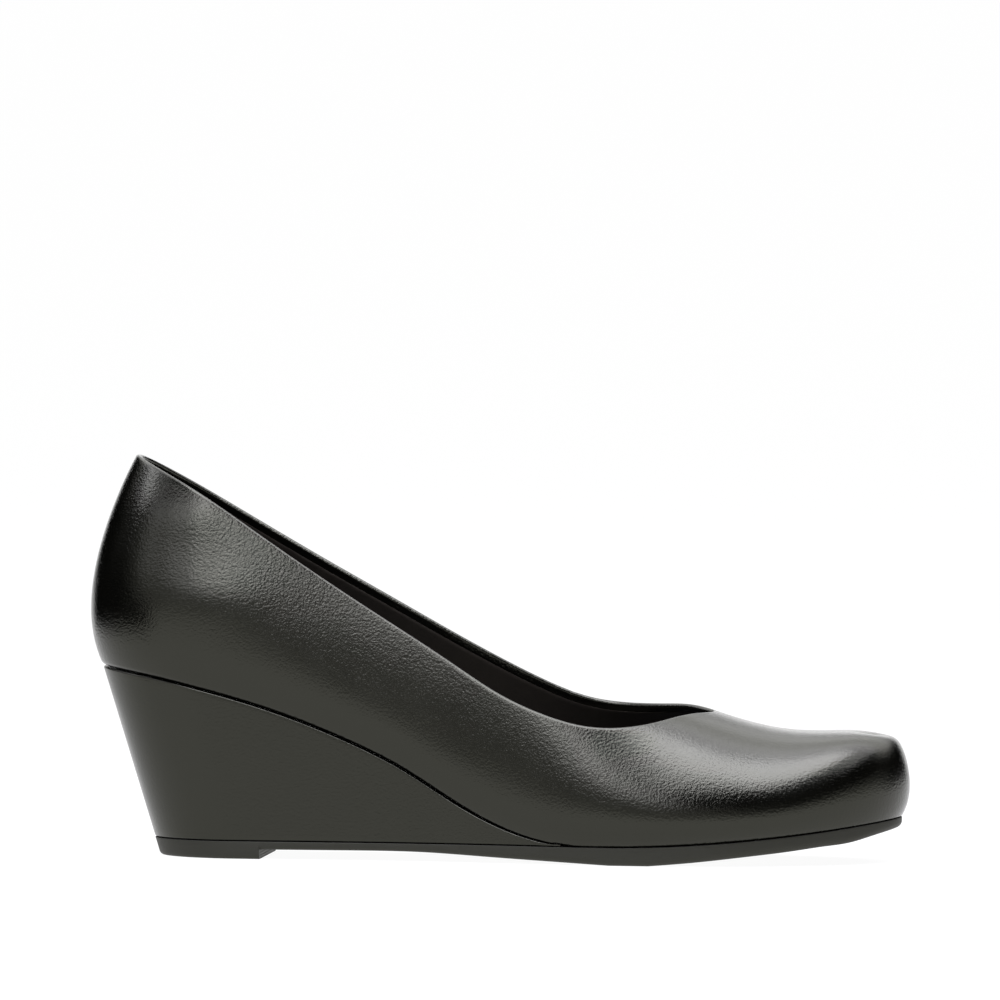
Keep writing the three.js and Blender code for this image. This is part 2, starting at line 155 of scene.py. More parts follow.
# Steps for slopes and searches, and the samples that even out a line.
NUDGE = 1e-3
EDGE_NUDGE = 1e-4
HALVINGS = 45
OPENING_SAMPLES = 2500
FEATHER_SAMPLES = 4000
RIDGE_SAMPLES = 2000
INSOLE_STATIONS = 40
# How much of a section's turn, from the feather line up, levels the wall's direction.
WALL_TURN = 0.12
# Points closer than this are one, in metres.
WELD = 2e-6


def column(table, name):
    """A natural cubic spline through one column of a table."""
    x = np.array(table["at"], float)
    y = np.array(table[name], float)
    n = len(x)
    bend = np.zeros(n)
    carry = np.zeros(n)
    for i in range(1, n - 1):
        share = (x[i] - x[i - 1]) / (x[i + 1] - x[i - 1])
        pivot = share * bend[i - 1] + 2
        rise = (y[i + 1] - y[i]) / (x[i + 1] - x[i]) - (y[i] - y[i - 1]) / (x[i] - x[i - 1])
        bend[i] = (share - 1) / pivot
        carry[i] = (6 * rise / (x[i + 1] - x[i - 1]) - share * carry[i - 1]) / pivot
    for i in range(n - 2, -1, -1):
        bend[i] = bend[i] * bend[i + 1] + carry[i]
    bend[0] = 0
    bend[-1] = 0

    def value(at):
        s = np.clip(at, x[0], x[-1])
        k = np.clip(np.searchsorted(x, s) - 1, 0, n - 2)
        h = x[k + 1] - x[k]
        a = (x[k + 1] - s) / h
        b = (s - x[k]) / h
        curve = (a**3 - a) * bend[k] + (b**3 - b) * bend[k + 1]
        return a * y[k] + b * y[k + 1] + curve * h * h / 6

    return value


heel_share = column(PLAN, "heel")
outer_ball = column(PLAN, "outer_ball")
inner_ball = column(PLAN, "inner_ball")
swing_share = column(PLAN, "swing")
wedge_rise = column(WEDGE_LINE, "rise")
waist_lift = column(WAIST_LINE, "lift")
toe_lift = column(TOE_LINE, "lift")
ridge_box = column(RIDGE, "box")
ridge_instep = column(RIDGE, "instep")
ridge_shift = column(RIDGE, "shift")
section_power = column(SECTION, "power")
outer_belly = column(SECTION, "outer_belly")
inner_belly = column(SECTION, "inner_belly")
belly_at = column(SECTION, "belly_at")
outer_top = column(TOP_LINE, "outer")
inner_top = column(TOP_LINE, "inner")


def clamp(value):
    return np.clip(value, 0.0, 1.0)


def lerp(a, b, share):
    return a + (b - a) * share


def ease(value):
    """A soft step from 0 to 1."""
    t = clamp(value)
    return t * t * (3 - 2 * t)


def unit(vectors):
    size = np.linalg.norm(vectors, axis=-1, keepdims=True)
    return vectors / np.maximum(size, 1e-12)


def by_side(side, outer, inner, s):
    return np.where(side < 0, outer(s), inner(s))


def round_end(share, power):
    """A quarter of a superellipse: 1 at the start of a round end, 0 at its tip."""
    return (1 - clamp(share) ** power) ** (1 / power)


def outsole_top(s):
    toe = clamp((s - AT_TREAD) / (1 - AT_TREAD))
    return lerp(SEAT_SOLE, FOREFOOT_SOLE, clamp(s / AT_TREAD)) + TOE_SPRING * toe**TOE_SPRING_POWER


def outsole_under(s):
    waist = (outsole_top(s) - WAIST_SOLE) * waist_lift(s)
    front = np.where(s > AT_SPRING, TOE_LIFT * toe_lift(s), 0.0)
    return np.where(s < AT_LIFT, 0.0, np.where(s < AT_TREAD, waist, front))


def wedge_top(s):
    rise = (HEEL_HEIGHT - SEAT_SOLE) * wedge_rise(s)
    return outsole_top(s) + np.where(s > AT_WEDGE, 0.0, rise)


def feather_height(s):
    """The upper's lower edge: on the wedge, then down over its thin front onto the outsole."""
    step = FIT_GAP + WEDGE_TIP
    tail = 1 - clamp((s - AT_WEDGE) / (AT_SETTLED - AT_WEDGE))
    thin = clamp(1 - wedge_rise(s) * (HEEL_HEIGHT - SEAT_SOLE) / step)
    return wedge_top(s) + FIT_GAP + step * tail * thin


def feather(side, s):
    """A point of the feather line, the upper's lower edge."""
    toe = round_end((s - AT_TOE_CAP) / (1 - AT_TOE_CAP), TOE_CAP_POWER)
    heel = round_end((AT_HEEL_CAP - s) / AT_HEEL_CAP, HEEL_CAP_POWER)
    half = HEEL_WIDTH / 2 * heel_share(s) + BALL_WIDTH / 2 * by_side(side, outer_ball, inner_ball, s)
    y = TOE_SWING * swing_share(s) + side * half * toe * heel
    x = SOLE_LENGTH * s - HEEL_THROW * clamp(1 - s / AT_HEEL_CAP) ** 2
    return np.stack([x, y, feather_height(s)], -1)


def drawn_in(side, s, inset):
    """The feather line drawn in by an inset."""
    way = feather(side, np.minimum(s + EDGE_NUDGE, 1)) - feather(side, np.maximum(s - EDGE_NUDGE, 0))
    out = unit(np.stack([-side * way[..., 1], side * way[..., 0], 0 * s], -1))
    tip = np.stack([np.where(s < 0.5, -1.0, 1.0), 0 * s, 0 * s], -1)
    at_tip = (s <= EDGE_NUDGE) | (s >= 1 - EDGE_NUDGE)
    return feather(side, s) - np.where(at_tip[..., None], tip, out) * np.asarray(inset)[..., None]


def ridge(s):
    """The last's ridge over the toe and the instep."""
    toe = clamp((s - RIDGE_TOE[0]) / (1 - RIDGE_TOE[0])) ** RIDGE_TOE[1]
    heel = clamp((RIDGE_HEEL[0] - s) / RIDGE_HEEL[0]) ** RIDGE_HEEL[1]
    x = SOLE_LENGTH * s - TOE_SETBACK * toe + HEEL_SETBACK * heel
    at = x / SOLE_LENGTH
    z = wedge_top(at) + TOE_BOX_HEIGHT * ridge_box(at) + INSTEP_RISE * ridge_instep(at)
    return np.stack([x, RIDGE_SHIFT * ridge_shift(at), z], -1)


def last(side, s, turn):
    """A point of the last: turn 0 is the feather line and turn 1 the ridge."""
    foot = feather(side, s)
    top = ridge(s)
    power = section_power(s)
    c = np.maximum(np.cos(turn * math.pi / 2), 0)
    n = np.sin(turn * math.pi / 2)
    radius = (c**power + n**power) ** (-1 / power)
    rise = radius * n
    peak = belly_at(s)
    swell = rise / peak * np.exp(1 - rise / peak) * (1 - rise**2) / (1 - peak**2)
    away = foot - top
    away[..., 2] = 0
    width = np.linalg.norm(away, axis=-1)
    out = width * radius * c + BELLY * by_side(side, outer_belly, inner_belly, s) * swell
    point = top + unit(away) * out[..., None]
    point[..., 2] = lerp(foot[..., 2], top[..., 2], rise)
    return point


def station(around):
    """The share of the length at an angle around the shoe: 0 is the heel and pi the toe."""
    return 0.5 * (1 - np.cos(around))


def around_at(s):
    return np.arccos(1 - 2 * s)


def spot(a, v):
    """The last's point at angle a and height v: -1 is the outer feather line, 0 the ridge and
    1 the inner feather line. A place past the heel or the toe is the other side's."""
    v = np.where(a < 0, -v, v)
    a = np.abs(a)
    past = a > math.pi
    v = np.clip(np.where(past, -v, v), -1, 1)
    a = np.where(past, 2 * math.pi - a, a)
    return last(np.where(v < 0, OUTER, INNER), station(a), 1 - np.abs(v))


def slopes(a, v):
    along = (spot(a + NUDGE, v) - spot(a - NUDGE, v)) / (2 * NUDGE)
    up = (spot(a, v + NUDGE) - spot(a, v - NUDGE)) / (2 * NUDGE)
    return along, up


def normals(a, v):
    """The last's outward directions, level along the feather line as in the solids."""
    along, up = slopes(a, v)
    cross = np.cross(along, up)
    size = np.linalg.norm(cross, axis=-1)
    s = np.clip(station(a), 0, 1)
    climb = ridge(np.minimum(s + NUDGE, 1)) - ridge(s - NUDGE)
    pole = np.stack([-climb[..., 2] / climb[..., 0], 0 * s, 1 + 0 * s], -1)
    found = np.where((size < 1e-6)[..., None], pole, cross)
    found = unit(found)
    found[..., 2] *= clamp((1 - np.abs(v)) / WALL_TURN)
    return unit(found)


def search(low, high, test):
    """The share at which a rising test stops being true, for single values or arrays."""
    low = np.array(low, float)
    high = np.array(high, float)
    for _ in range(HALVINGS):
        middle = (low + high) / 2
        below = test(middle)
        low = np.where(below, middle, low)
        high = np.where(below, high, middle)
    return high


THROAT_S = search(0.5, 1, lambda s: ridge(s)[..., 0] < AT_THROAT * SOLE_LENGTH)
THROAT = ridge(THROAT_S)
BACK_Z = HEEL_HEIGHT + BACK_HEIGHT
HEEL_END = np.zeros(())
BACK_TURN = search(0, 1, lambda t: last(np.array(OUTER), HEEL_END, t)[..., 2] < BACK_Z)
BACK = last(np.array(OUTER), HEEL_END, BACK_TURN)


def top_turn(side, s):
    """How far up a section the top line lies."""

    def below(turn):
        p = last(side, s, turn)
        at = (p[..., 0] - BACK[0]) / (THROAT[0] - BACK[0])
        return p[..., 2] < lerp(THROAT[2], BACK_Z, by_side(side, outer_top, inner_top, at))

    return search(np.zeros_like(s), np.ones_like(s), below)


def lengths(points):
    """The distance along a row of points, from its start."""
    steps = np.linalg.norm(np.diff(points, axis=0), axis=-1)
    return np.concatenate([[0.0], np.cumsum(steps)])


def end_weighted(count):
    """Even shares from 0 to 1, drawn closer together at both ends."""
    u = np.linspace(0, 1, count + 1)
    return lerp(u, 0.5 * (1 - np.cos(math.pi * u)), END_WEIGHT)


# The folded edge rises a little past the solids' top line on the outer side of the throat: how
# far, where its middle is along the length and how far it reaches, in millimetres.
RIM_RISE = 0.45
RIM_RISE_MIDDLE = 155.0
RIM_RISE_REACH = 26.0
# The share of the section over which that rise fades out towards the throat.
RIM_RISE_FADE = 0.2
# How far a ring moves over the last at once, in millimetres.
RING_STEP = 0.3

# How many ribs run to the opening on each side, and how many over the vamp.
COLLAR = 150
VAMP = 90
RIBS = COLLAR + VAMP
# Where along the length the first rib over the vamp has its foot.
VAMP_FOOT = 0.79
# How much ribs crowd towards the heel and the throat, and rows towards the feather line.
END_WEIGHT = 0.72
HEEL_CROWDING = 2.25
ROW_CROWDING = 1.35


def opening():
    """The top line as a ring of places: outer side to the throat, then back on the inner side."""
    found = []
    for side in (OUTER, INNER):
        reach = 1 - (1 - np.linspace(0, 1, OPENING_SAMPLES)) ** HEEL_CROWDING
        a = around_at(THROAT_S) * reach
        turn = top_turn(np.full(a.shape, side), station(a))
        turn[-1] = 1
        way = lengths(spot(a, side * (1 - turn)))
        a = np.interp(end_weighted(COLLAR) * way[-1], way, a)
        turn = top_turn(np.full(a.shape, side), station(a))
        turn[-1] = 1
        found.append((a, side * (1 - turn)))
    (outer_a, outer_v), (inner_a, inner_v) = found
    a = np.concatenate([outer_a, inner_a[-2:0:-1]])
    v = np.concatenate([outer_v, inner_v[-2:0:-1]])
    return a, v


def across(a, v):
    """On a ring round the opening: the outward directions, and those towards the opening."""
    p = spot(a, v)
    n = normals(a, v)
    return n, unit(np.cross(n, np.roll(p, -1, 0) - np.roll(p, 1, 0)))


def drawn_back(ring, distance):
    """The ring moved over the last by a distance, away from the opening."""
    a, v = (x.copy() for x in ring)
    distance = np.broadcast_to(distance, a.shape)[:, None]
    steps = max(1, math.ceil(np.abs(distance).max() / RING_STEP))
    for _ in range(steps):
        along, up = slopes(a, v)
        towards = across(a, v)[1]
        move = towards * (-distance / steps)
        g11 = (along * along).sum(-1)
        g12 = (along * up).sum(-1)
        g22 = (up * up).sum(-1)
        b1 = (along * move).sum(-1)
        b2 = (up * move).sum(-1)
        det = g11 * g22 - g12**2
        a = a + (g22 * b1 - g12 * b2) / det
        v = v + (g11 * b2 - g12 * b1) / det
        a[0] = 0
        v[COLLAR] = 0
    return a, v


def rim_rise(ring):
    """How far each place of the opening's ring rises past the solids' top line."""
    along = spot(*ring)[..., 0]
    outer = (ring[1] < 0) * ease(-ring[1] / RIM_RISE_FADE)
    return RIM_RISE * outer * gauss(along - RIM_RISE_MIDDLE, RIM_RISE_REACH)


def feather_places():
    """Angles of the ribs' feet, evenly spread along the feather line."""
    a = np.linspace(0, math.pi, FEATHER_SAMPLES)
    way = lengths(feather(np.full(a.shape, OUTER), station(a)))
    split = np.interp(around_at(VAMP_FOOT), a, way)
    first = end_weighted(COLLAR) * split
    rest = np.linspace(split, way[-1], VAMP + 1)[1:]
    return np.interp(np.concatenate([first, rest]), way, a)


def sheet_places(ring, rows, power=ROW_CROWDING):
    """Places of a sheet from the feather line up to a ring and, ahead of it, over the ridge."""
    a_ring, v_ring = ring
    s = np.linspace(station(a_ring[COLLAR]), 1, RIDGE_SAMPLES)
    way = lengths(ridge(s))
    over = around_at(np.interp(np.linspace(0, way[-1], VAMP + 1)[1:], way, s))
    outer_a = np.concatenate([a_ring[: COLLAR + 1], over])
    inner_a = np.concatenate([a_ring[:1], a_ring[: COLLAR - 1 : -1], over])
    outer_v = np.concatenate([v_ring[: COLLAR + 1], 0 * over])
    inner_v = np.concatenate([-v_ring[:1], v_ring[: COLLAR - 1 : -1], 0 * over])
    foot = feather_places()
    a_top = np.concatenate([outer_a, inner_a[-2:0:-1]])
    a_foot = np.concatenate([foot, foot[-2:0:-1]])
    turn_top = 1 - np.abs(np.concatenate([outer_v, inner_v[-2:0:-1]]))
    side = np.concatenate([np.full(RIBS + 1, OUTER), np.full(RIBS - 1, INNER)])
    share = (np.linspace(0, 1, rows + 1) ** power)[:, None]
    a = lerp(a_foot, a_top, share**2)
    return a, side * (1 - share * turn_top)


class Skin:
    """Collects sheets of points and joins them where they meet."""

    def __init__(self):
        self.points = []
        self.faces = []
        self.count = 0

    def sheet(self, rows, ring=True):
        rows = np.asarray(rows)
        high, wide = rows.shape[:2]
        index = np.arange(high * wide).reshape(high, wide) + self.count
        self.points.append(rows.reshape(-1, 3))
        self.count += high * wide
        here = index if ring else index[:, :-1]
        there = np.roll(index, -1, axis=1) if ring else index[:, 1:]
        quads = np.stack([here[:-1], there[:-1], there[1:], here[1:]], -1)
        self.faces.append(quads.reshape(-1, 4))

    def build(self, name, sharp=None):
        """Makes the object, closed and smooth, where the solids stand."""
        points = (np.concatenate(self.points) + SHIFT) * MM
        mesh = bpy.data.meshes.new(name)
        mesh.from_pydata(points.tolist(), [], np.concatenate(self.faces).tolist())
        work = bmesh.new()
        work.from_mesh(mesh)
        bmesh.ops.remove_doubles(work, verts=work.verts, dist=WELD)
        bmesh.ops.dissolve_degenerate(work, edges=work.edges, dist=WELD / 10)
        bmesh.ops.recalc_face_normals(work, faces=work.faces)
        open_edges = sum(not edge.is_manifold for edge in work.edges)
        for face in work.faces:
            face.smooth = True
        if sharp:
            for edge in work.edges:
                edge.smooth = not (edge.is_manifold and edge.calc_face_angle() > sharp)
        work.to_mesh(mesh)
        work.free()
        if open_edges:
            raise RuntimeError(f"{name} isn't closed at {open_edges} edges")
        piece = bpy.data.objects.new(name, mesh)
        bpy.context.scene.collection.objects.link(piece)
        return piece


def place_of_solids():
    """The move from the last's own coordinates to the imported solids, read from the insole."""
    s = station(math.pi * np.linspace(0, 1, INSOLE_STATIONS + 1))
    inset = UPPER_WALL + FIT_GAP
    points = np.concatenate([drawn_in(np.full(s.shape, side), s, inset) for side in (OUTER, INNER)])
    low = np.array(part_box("insole")[0]) / MM
    return np.array([low[0] - points[:, 0].min(), low[1] - points[:, 1].min(), 0.0])


SHIFT = place_of_solids()


def gauss(value, width):
    return np.exp(-((value / width) ** 2))


def crease(points, start, end, width, depth):
    """A soft trough, or with a negative depth a ridge, between two points in side view."""
    start = np.array(start, float)
    way = np.array(end, float) - start
    size = np.linalg.norm(way)
    rel = points[..., (0, 2)] - start
    along = (rel @ way) / size
    off = (rel[..., 0] * way[1] - rel[..., 1] * way[0]) / size
    fade = ease(along / (0.3 * size)) * ease((size - along) / (0.3 * size))
    return -depth * gauss(off, width) * fade


def swell(points, middle, reach, height):
    """A soft rise, or with a negative height a hollow, round a point in side view."""
    across_it = gauss(points[..., 0] - middle[0], reach[0])
    return height * across_it * gauss(points[..., 2] - middle[1], reach[1])


# The stiffener's soft forms at the heel: middle, reach and height in millimetres, in side view.
HEEL_SWELLS = (
    ((31, 78), (17, 10), 0.75),
    ((22, 105), (13, 8), 0.55),
)
# The soft crease over the shank: start, end, width and depth in millimetres, in side view.
SHANK_CREASE = ((60, 70), (120, 30), 7, 0.18)
# The leather's slight unevenness, and the seam up the back of the heel, in millimetres.
UNEVENNESS = 0.05
BACK_SEAM_WIDTH = 0.45
BACK_SEAM_DEPTH = 0.28


def relief(points, normal):
    """How far the leather stands off the last: the soft forms, in millimetres."""
    x, y, z = points[..., 0], points[..., 1], points[..., 2]
    outside = ease(-normal[..., 1] * 2)
    total = UNEVENNESS * np.sin(x / 9 + 0.7 * np.sin(z / 13)) * np.sin(z / 11 + y / 15)
    seam = gauss(y, BACK_SEAM_WIDTH) * ease((8 - x) / 4)
    total = total - BACK_SEAM_DEPTH * seam
    total = total + outside * crease(points, *SHANK_CREASE)
    for middle, reach, height in HEEL_SWELLS:
        total = total + outside * swell(points, middle, reach, height)
    return total


def measure(name, description, default, low, high):
    return bpy.props.FloatProperty(
        name=name,
        description=description,
        default=default,
        min=low,
        max=high,
        subtype="DISTANCE",
        unit="LENGTH",
    )


class PumpSizes(bpy.types.PropertyGroup):
    leather: measure(
        "Leather", "Thickness of the upper's leather, without its lining", 1.05 * MM, 0.6 * MM, 1.3 * MM
    )
    hem: measure(
        "Turned edge",
        "How far the folded top edge runs down inside, to the lining's seam",
        2.4 * MM,
        1 * MM,
        5 * MM,
    )
    groove: measure(
        "Wedge groove", "Rounding of the upper's lower edge at the heel", 1.4 * MM, 0.3 * MM, 1.7 * MM
    )
    wedge_round: measure(
        "Wedge edge", "Rounding of the wedge cover's upper edge", 0.5 * MM, 0.2 * MM, 1.5 * MM
    )
    tread: measure("Tread depth", "Depth of the fine grooves under the sole", 0.4 * MM, 0.1 * MM, 0.8 * MM)
    floor_reach: measure("Floor reach", "Half the floor's width", 40.0, 5, 80)
    camera_distance: measure("Camera distance", "How far the camera stands from the shoe", 12.0, 1, 20)


def colour(name, description, default):
    return bpy.props.FloatVectorProperty(
        name=name, description=description, default=default, size=3, min=0, max=1, subtype="COLOR"
    )


class PumpColours(bpy.types.PropertyGroup):
    leather: colour("Leather", "Colour of the upper's leather", (0.0017, 0.0017, 0.0013))
    wedge: colour("Wedge cover", "Colour of the leather on the wedge", (0.0022, 0.0022, 0.0017))
    lining: colour("Lining", "Colour of the lining", (0.003, 0.0023, 0.0016))
    rubber: colour("Rubber", "Colour of the outsole", (0.012, 0.012, 0.0105))
    sock: colour("Sock", "Colour of the insole's leather", (0.003, 0.0023, 0.0016))
    floor: colour("Floor", "Colour of the studio floor", (0.09, 0.09, 0.09))


def new_material(name):
    material = bpy.data.materials.new(name)
    material.use_nodes = True
    tree = material.node_tree
    tree.nodes.clear()
    out = tree.nodes.new("ShaderNodeOutputMaterial")
    shader = tree.nodes.new("ShaderNodeBsdfPrincipled")
    tree.links.new(shader.outputs["BSDF"], out.inputs["Surface"])
    place = tree.nodes.new("ShaderNodeTexCoord")
    return material, tree, shader, place.outputs["Object"]


def noise(tree, place, scale, detail=2.0, roughness=0.5, distortion=0.0):
    node = tree.nodes.new("ShaderNodeTexNoise")
    node.inputs["Scale"].default_value = scale
    node.inputs["Detail"].default_value = detail
    node.inputs["Roughness"].default_value = roughness
    node.inputs["Distortion"].default_value = distortion
    tree.links.new(place, node.inputs["Vector"])
    return node.outputs["Fac"]


def cells(tree, place, scale):
    node = tree.nodes.new("ShaderNodeTexVoronoi")
    node.inputs["Scale"].default_value = scale
    tree.links.new(place, node.inputs["Vector"])
    return node.outputs["Distance"]


def between(tree, value, low, high, new_low, new_high):
    node = tree.nodes.new("ShaderNodeMapRange")
    node.clamp = True
    node.inputs["From Min"].default_value = low
    node.inputs["From Max"].default_value = high
    node.inputs["To Min"].default_value = new_low
    node.inputs["To Max"].default_value = new_high
    tree.links.new(value, node.inputs["Value"])
    return node.outputs["Result"]


def bump(tree, height, distance, strength, below=None):
    node = tree.nodes.new("ShaderNodeBump")
    node.inputs["Distance"].default_value = distance
    node.inputs["Strength"].default_value = strength
    tree.links.new(height, node.inputs["Height"])
    if below:
        tree.links.new(below, node.inputs["Normal"])
    return node.outputs["Normal"]


def two_tones(tree, value, dark, light):
    node = tree.nodes.new("ShaderNodeValToRGB")
    node.color_ramp.elements[0].position = 0.3
    node.color_ramp.elements[0].color = (*dark, 1)
    node.color_ramp.elements[1].position = 0.7
    node.color_ramp.elements[1].color = (*light, 1)
    tree.links.new(value, node.inputs["Fac"])
    return node.outputs["Color"]


def shaded(tint, share):
    return tuple(share * c for c in tint)


# The gloss of the leather and of the rubber is a touch warm, and the lining's is warmer.
WARM_GLOSS = (1.0, 1.0, 0.83, 1.0)
LINING_GLOSS = (1.0, 0.9, 0.74, 1.0)

# The middle roughness of each leather, and how strong the wedge's grain is beside the upper's.
UPPER_ROUGHNESS = 0.15
WEDGE_ROUGHNESS = 0.22
WEDGE_GRAIN = 0.6
LINING_ROUGHNESS = 0.55
SOCK_ROUGHNESS = 0.5


def leather_material(name, tint, roughness, grain=1.0):
    """Finished black leather: pores, faint folds and fine grain, with a mottled satin gloss."""
    material, tree, shader, place = new_material(name)
    mottle = noise(tree, place, scale=70, detail=4, roughness=0.6)
    tone = two_tones(tree, mottle, shaded(tint, 0.82), shaded(tint, 1.18))
    tree.links.new(tone, shader.inputs["Base Color"])
    uneven = between(tree, mottle, 0.3, 0.7, roughness - 0.03, roughness + 0.04)
    tree.links.new(uneven, shader.inputs["Roughness"])
    fine = noise(tree, place, scale=1350, detail=2, roughness=0.6)
    pores = between(tree, cells(tree, place, 1150), 0.0, 0.42, 0.0, 1.0)
    folds = noise(tree, place, scale=420, detail=3, roughness=0.55, distortion=0.4)
    first = bump(tree, folds, distance=0.000028 * grain, strength=0.35)
    second = bump(tree, pores, distance=0.00003 * grain, strength=0.35, below=first)
    third = bump(tree, fine, distance=0.00018 * grain, strength=0.6, below=second)
    tree.links.new(third, shader.inputs["Normal"])
    shader.inputs["Specular IOR Level"].default_value = 0.5
    shader.inputs["Specular Tint"].default_value = WARM_GLOSS
    return material


def lining_material(name, tint, roughness):
    """Soft lining leather with a fine suede nap."""
    material, tree, shader, place = new_material(name)
    nap = noise(tree, place, scale=900, detail=4, roughness=0.65)
    cloud = noise(tree, place, scale=160, detail=3)
    tone = two_tones(tree, cloud, shaded(tint, 0.75), shaded(tint, 1.3))
    tree.links.new(tone, shader.inputs["Base Color"])
    uneven = between(tree, nap, 0.3, 0.7, roughness - 0.06, roughness + 0.06)
    tree.links.new(uneven, shader.inputs["Roughness"])
    tree.links.new(bump(tree, nap, distance=0.0001, strength=0.4), shader.inputs["Normal"])
    shader.inputs["Specular IOR Level"].default_value = 0.25
    shader.inputs["Sheen Weight"].default_value = 0.06
    shader.inputs["Sheen Roughness"].default_value = 0.5
    shader.inputs["Specular Tint"].default_value = LINING_GLOSS
    return material


def rubber_material(name, tint):
    """Black moulded rubber: matt, with a sandy surface and faint scuffs."""
    material, tree, shader, place = new_material(name)
    sand = noise(tree, place, scale=2200, detail=3, roughness=0.7)
    scuff = noise(tree, place, scale=90, detail=5, roughness=0.7, distortion=0.6)
    tone = two_tones(tree, scuff, shaded(tint, 0.85), shaded(tint, 1.25))
    tree.links.new(tone, shader.inputs["Base Color"])
    tree.links.new(between(tree, scuff, 0.3, 0.75, 0.5, 0.62), shader.inputs["Roughness"])
    tree.links.new(bump(tree, sand, distance=0.00005, strength=0.5), shader.inputs["Normal"])
    shader.inputs["Specular IOR Level"].default_value = 0.45
    shader.inputs["Specular Tint"].default_value = WARM_GLOSS
    return material


# The floor is lit from below, as on a light table, so that it is white and nearly without shadow.
FLOOR_GLOW = 0.95


def floor_material(tint):
    """Plain pale paper, a touch uneven, lit from below."""
    material, tree, shader, place = new_material("studio_paper")
    tone = two_tones(tree, noise(tree, place, scale=3), shaded(tint, 0.985), tint)
    tree.links.new(tone, shader.inputs["Base Color"])
    shader.inputs["Roughness"].default_value = 1.0
    shader.inputs["Specular IOR Level"].default_value = 0.0
    shader.inputs["Emission Color"].default_value = (1, 1, 1, 1)
    shader.inputs["Emission Strength"].default_value = FLOOR_GLOW
    return material


def dress(piece, material, node):
    """The piece takes the given material, stands in for a solid, which it hides, and rides with the shoe.
    """
    piece.data.materials.clear()
    piece.data.materials.append(material)
    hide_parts(node)
    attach(piece, "root")


# The rounding of the upper's lower edge at the forefoot, and where along the length it changes.
GROOVE_FOREFOOT = 0.3
GROOVE_FROM = 0.42
GROOVE_OVER = 0.16


def groove_radius(s, heel):
    return lerp(heel, GROOVE_FOREFOOT, ease((s - GROOVE_FROM) / GROOVE_OVER))


def tucked(points, normal, s, radius):
    """Rounds the sheet's lower edge inward, a radius high, onto what it stands on."""
    height = points[..., 2] - feather_height(s)
    rest = clamp(1 - height / radius)
    level = normal.copy()
    level[..., 2] = 0
    return points - unit(level) * (radius * (1 - np.sqrt(1 - rest**2)))[..., None]


def skin_rows(a, v, offset, groove=None):
    """The points of a sheet at an offset inside the last's surface."""
    base = spot(a, v)
    normal = normals(a, v)
    points = base + normal * (relief(base, normal) - offset)[..., None]
    if groove is None:
        return points
    s = station(np.clip(a, 0, math.pi))
    return tucked(points, normal, s, groove_radius(s, groove))


# The upper's rows, and the steps of its folded edge and of the hem inside.
UPPER_ROWS = 58
UPPER_INNER_ROWS = 12
FOLD_STEPS = 12
HEM_STEPS = 4
# The hem's cut end in millimetres: how far past the hem, and how far out of the inner face.
HEM_END = ((0.16, 0.08), (0.22, 0.3))
HEM_SEAM = 0.24


class PUMP_OT_upper(bpy.types.Operator):
    """Cut, fold and last the black leather of the upper"""

    bl_idname = "wedge_pump.upper"
    bl_label = "Upper leather"

    def execute(self, context):
        sizes = context.scene.pump_sizes
        thickness = sizes.leather / MM
        hem = sizes.hem / MM
        fold = UPPER_WALL / 2
        top = opening()
        edge = drawn_back(top, fold - rim_rise(top))
        skin = Skin()
        outside = skin_rows(*sheet_places(edge, UPPER_ROWS), 0.0, sizes.groove / MM)
        skin.sheet(outside)
        normal, towards = across(*edge)
        rim = skin_rows(*edge, 0.0)
        middle = rim - normal * fold
        turns = np.linspace(0, math.pi, FOLD_STEPS + 1)
        arc = [rim]
        for turn in turns[1:]:
            arc.append(middle + fold * (math.cos(turn) * normal + math.sin(turn) * towards))
        down = np.linspace(fold, hem, HEM_STEPS + 1)[1:]
        arc += [skin_rows(*drawn_back(top, depth), UPPER_WALL) for depth in down]
        arc += [skin_rows(*drawn_back(top, hem + past), UPPER_WALL - out) for past, out in HEM_END]
        seam = drawn_back(top, hem + HEM_SEAM)
        inside = skin_rows(*sheet_places(seam, UPPER_INNER_ROWS), thickness)
        arc.append(inside[-1][ring_index()])
        skin.sheet(np.array(arc))
        skin.sheet(inside)
        skin.sheet(np.array([outside[0], inside[0]]))
        piece = skin.build("upper_leather")
        tint = context.scene.pump_colours.leather
        material = leather_material("satin_black_leather", tint, UPPER_ROUGHNESS)
        dress(piece, material, "upper")
        return {"FINISHED"}


def ring_index():
    """Where the opening's ring lies in a sheet's top row."""
    outer = np.arange(COLLAR + 1)
    inner = np.arange(2 * RIBS - COLLAR + 1, 2 * RIBS)
    return np.concatenate([outer, inner])


# The lining's faint gathers in millimetres: height, pitch, how deep under the edge they lie and
# reach, and where along the shoe they end.
PUCKER_HEIGHT = 0.14
PUCKER_PITCH = 1.7
PUCKER_DEPTH = 7.0
PUCKER_REACH = 6.0
PUCKER_END = 90.0


def puckers(points, depth):
    """Faint gathers of the lining under the top edge, on both sides of the heel."""
    x = points[..., 0]
    z = points[..., 2]
    ripple = np.sin((x - z) / PUCKER_PITCH + np.sin(x / 7)) * gauss(depth - PUCKER_DEPTH, PUCKER_REACH)
    return PUCKER_HEIGHT * ripple * ease((PUCKER_END - x) / 25)


# The lining's rows, and its top edge in millimetres: the gap to the leather, where its two faces
# end past the hem, where the rounding between them lies, and how far that rounding is drawn in.
LINING_BACK_ROWS = 10
LINING_FRONT_ROWS = 46
LINING_GAP = 0.03
LINING_BACK_END = 0.62
LINING_FRONT_END = 0.58
LINING_ROUND = 0.4
LINING_TIP = 0.34
LINING_BACK_ROUND = 0.15
LINING_FRONT_ROUND = 0.08


